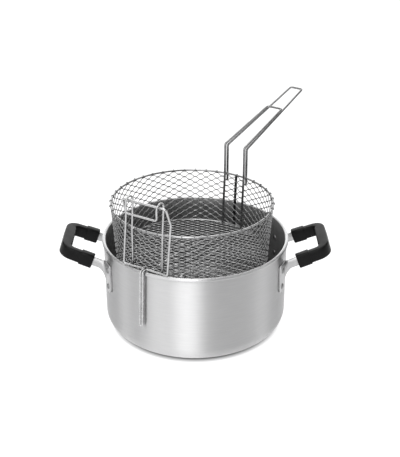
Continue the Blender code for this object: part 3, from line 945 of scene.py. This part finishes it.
def hanger_half(sign):
    """(reach, across, z) from the pot's axis: crossbar, leg, bar on the rim and half of the tail."""
    rest_z = POT_HEIGHT + HANGER_WIRE + GAP
    tail_reach = POT_RADIUS + BEAD_RADIUS + HANGER_WIRE + 2 * GAP
    return [
        (CROSSBAR_REACH, CROSSBAR_LEAN + sign * CROSSBAR_HALF_WIDTH, CROSSBAR_Z),
        (REST_REACH, HANGER_LEAN + sign * HANGER_HALF_WIDTH, HANGER_LEG_TOP_Z),
        (REST_REACH, sign * HANGER_HALF_WIDTH, rest_z),
        (REST_REACH, sign * TAIL_HALF_WIDTH, rest_z),
        (tail_reach, sign * TAIL_HALF_WIDTH, rest_z),
        (tail_reach, TAIL_SHIFT + sign * TAIL_HALF_WIDTH, TAIL_END_Z),
    ]


def make_hanger(material):
    turn = Matrix.Rotation(HANG_AZIMUTH, 3, "Z")
    path = [turn @ Vector(point) for point in hanger_half(1) + hanger_half(-1)[::-1]]
    bends = [WIRE_BEND] * 3 + [TAIL_BEND] * 3
    path = rounded(path, bends + bends[::-1], WIRE_BEND_STEPS, closed=True)
    wire_piece("hanger_wire", path, HANGER_WIRE, material, "hanger", "hanger_frame", closed=True)


def make_basket(wire, hoop, shaded_handle_wire, mesh_wire, dark):
    rim = ring_points(BASKET_RIM_RADIUS, BASKET_RIM_Z)
    wire_piece("rim_hoop", rim, RIM_WIRE, hoop, "basket", "basket_rim_ring", closed=True)
    base = ring_points(BASKET_BASE_RADIUS, BASKET_BASE_Z)
    wire_piece("base_hoop", base, BASE_WIRE, hoop, "basket", "basket_base_ring", closed=True)
    make_wall(mesh_wire)
    make_base(mesh_wire)
    make_seam(dark)
    make_basket_handle(shaded_handle_wire)
    make_hook(wire)
    make_supports(wire)


# ---------------------------------------------------------------- stage


def make_floor():
    data = bpy.data.meshes.new("floor")
    half = FLOOR_SIZE / 2
    corners = [(-half, -half, 0), (half, -half, 0), (half, half, 0), (-half, half, 0)]
    data.from_pydata(corners, [], [(0, 1, 2, 3)])
    made = Finish("floor_white", 0.0, 0.0)
    cloud = made.noise(FLOOR_CLOUD, made.place(), 3.0, 0.5)
    made.colour(cloud, FLOOR_TONES)
    made.roughness(cloud, FLOOR_ROUGHNESS)
    # Painted contact shadow: the floor's glow fades out under and round the pot by distance from the pot's
    # axis
    reach = made.add("ShaderNodeVectorMath", operation="LENGTH")
    made.link(made.place(), reach.inputs[0])
    lit = made.span(reach.outputs["Value"], 0.0, 1.0, *SHADE_REACH)
    made.link(made.mix(lit, grey(0.0), grey(1.0)), made.shader.inputs["Emission Color"])
    made.shader.inputs["Emission Strength"].default_value = FLOOR_GLOW
    data.materials.append(made.material)
    floor = bpy.data.objects.new("floor", data)
    bpy.context.scene.collection.objects.link(floor)


def strip_of_light(made, direction, azimuth, half_width, strength):
    """How much a tall soft light at this azimuth adds to a direction."""
    facing = made.add("ShaderNodeVectorMath", operation="DOT_PRODUCT")
    angle = math.radians(azimuth)
    facing.inputs[1].default_value = (math.cos(angle), math.sin(angle), 0.0)
    made.link(direction, facing.inputs[0])
    ramp = made.add("ShaderNodeMapRange", interpolation_type="SMOOTHSTEP")
    ramp.inputs["From Min"].default_value = math.cos(math.radians(half_width))
    ramp.inputs["To Max"].default_value = strength
    made.link(facing.outputs["Value"], ramp.inputs["Value"])
    return ramp.outputs["Result"]


def make_world():
    """A dim room with tall soft lights round it and a broad one overhead."""
    world = bpy.data.worlds.new("studio")
    bpy.context.scene.world = world
    world.use_nodes = True
    made = Nodes(world.node_tree)
    split = made.add("ShaderNodeSeparateXYZ")
    made.link(made.add("ShaderNodeTexCoord").outputs["Generated"], split.inputs[0])
    flat = made.add("ShaderNodeCombineXYZ")
    made.link(split.outputs["X"], flat.inputs["X"])
    made.link(split.outputs["Y"], flat.inputs["Y"])
    unit = made.add("ShaderNodeVectorMath", operation="NORMALIZE")
    made.link(flat.outputs[0], unit.inputs[0])
    overhead = made.add("ShaderNodeMapRange", interpolation_type="SMOOTHSTEP")
    for key, value in zip(("From Min", "From Max", "To Min", "To Max"), OVERHEAD_RAMP):
        overhead.inputs[key].default_value = value
    made.link(split.outputs["Z"], overhead.inputs["Value"])
    total = overhead.outputs["Result"]
    for azimuth, half_width, strength in LIGHT_STRIPS:
        join = made.add("ShaderNodeMath", operation="ADD")
        made.link(total, join.inputs[0])
        made.link(strip_of_light(made, unit.outputs[0], azimuth, half_width, strength), join.inputs[1])
        total = join.outputs[0]
    background = world.node_tree.nodes["Background"]
    background.inputs["Color"].default_value = (1.0, 1.0, 1.0, 1.0)
    made.link(total, background.inputs["Strength"])


def make_camera():
    data = bpy.data.cameras.new("camera")
    data.sensor_fit = "HORIZONTAL"
    data.sensor_width = CAMERA_SENSOR
    data.lens = CAMERA_LENS
    made = bpy.data.objects.new("camera", data)
    made.location = CAMERA_PLACE
    made.rotation_euler = (math.radians(90.0 - CAMERA_ELEVATION), 0.0, 0.0)
    bpy.context.scene.collection.objects.link(made)
    bpy.context.scene.camera = made


def main():
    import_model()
    bpy.context.scene.view_settings.view_transform = "Standard"
    aluminium = brushed_aluminium()
    satin = satin_aluminium("satin_aluminium", SATIN_TONES)
    # Hook, hanger and supports get a lighter tone of the hoops' plated steel as painted light
    wire = plated_wire("plated_wire", WIRE_TONES)
    hoop = plated_wire("plated_hoop_wire", HOOP_TONES)
    # The long handle's wire is the same plated wire, painted darker as painted shade
    shaded_handle_wire = plated_wire("handle_wire_painted_shade", HANDLE_SHADE_TONES)
    mesh_wire = plated_wire("plated_mesh_wire", MESH_TONES)
    dark = plated_wire("dark_seam_steel", SEAM_TONES)
    make_pot(aluminium, dark_coat())
    # The rivet heads take a darker tone of the bracket metal as painted shade
    make_rivets(satin_aluminium("rivet_aluminium", PAINTED_SHADE_RIVET_TONES))
    make_handles(satin, black_grip())
    make_basket(wire, hoop, shaded_handle_wire, mesh_wire, dark)
    make_hanger(wire)
    make_floor()
    make_world()
    make_camera()


main()
